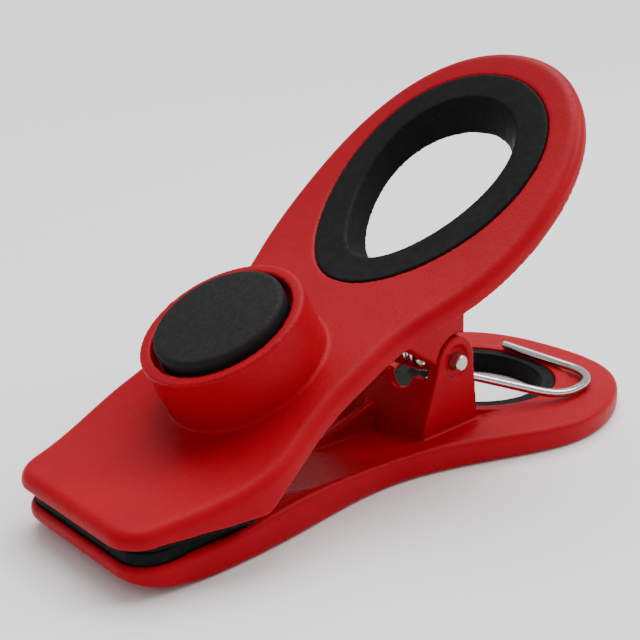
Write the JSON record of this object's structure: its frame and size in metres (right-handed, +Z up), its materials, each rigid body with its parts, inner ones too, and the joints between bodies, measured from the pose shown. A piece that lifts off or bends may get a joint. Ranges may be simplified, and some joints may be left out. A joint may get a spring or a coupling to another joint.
{
  "type": "bag clip",
  "caption": "Spring-loaded plastic bag clip with rubber jaws, rubber-lined finger holes in both handles and a magnet in a raised cup.",
  "frame": {"origin": "centre of the bounding box, on the surface that the clip rests on", "axes": "+X from the jaw tip towards the handles, Y along the pivot pin, +Z up"},
  "size_m": [0.104, 0.0502, 0.0584],
  "materials": {
    "lower_plastic": "satin red moulded plastic with a fine grain",
    "upper_plastic": "satin red moulded plastic with a fine grain",
    "lower_grip_rubber": "matt black rubber",
    "upper_grip_rubber": "matt black rubber",
    "lower_pad_rubber": "matt black rubber",
    "upper_pad_rubber": "matt black rubber",
    "magnet_ferrite": "matt black ferrite",
    "adhesive": "dried glue film",
    "pin_steel": "cut steel pin",
    "spring_steel": "polished spring wire"
  },
  "bodies": {
    "lower": {"lower_lever": "lower_plastic", "lower_grip": "lower_grip_rubber", "lower_jaw_pad": "lower_pad_rubber", "pivot_pin": "pin_steel", "torsion_spring": "spring_steel"},
    "upper": {"upper_lever": "upper_plastic", "upper_grip": "upper_grip_rubber", "upper_jaw_pad": "upper_pad_rubber", "magnet": "magnet_ferrite", "magnet_adhesive": "adhesive"}
  },
  "joints": [
    {"name": "lever_pivot", "type": "hinge", "parent": "lower", "child": "upper", "pos_m": [0.0106, 0, 0.0145], "axis": [0, 1, 0], "range_deg": [0, 30], "stiffness_Nm_per_rad": 0.25, "springref_deg": -34.38, "deforming": ["torsion_spring"]}
  ]
}
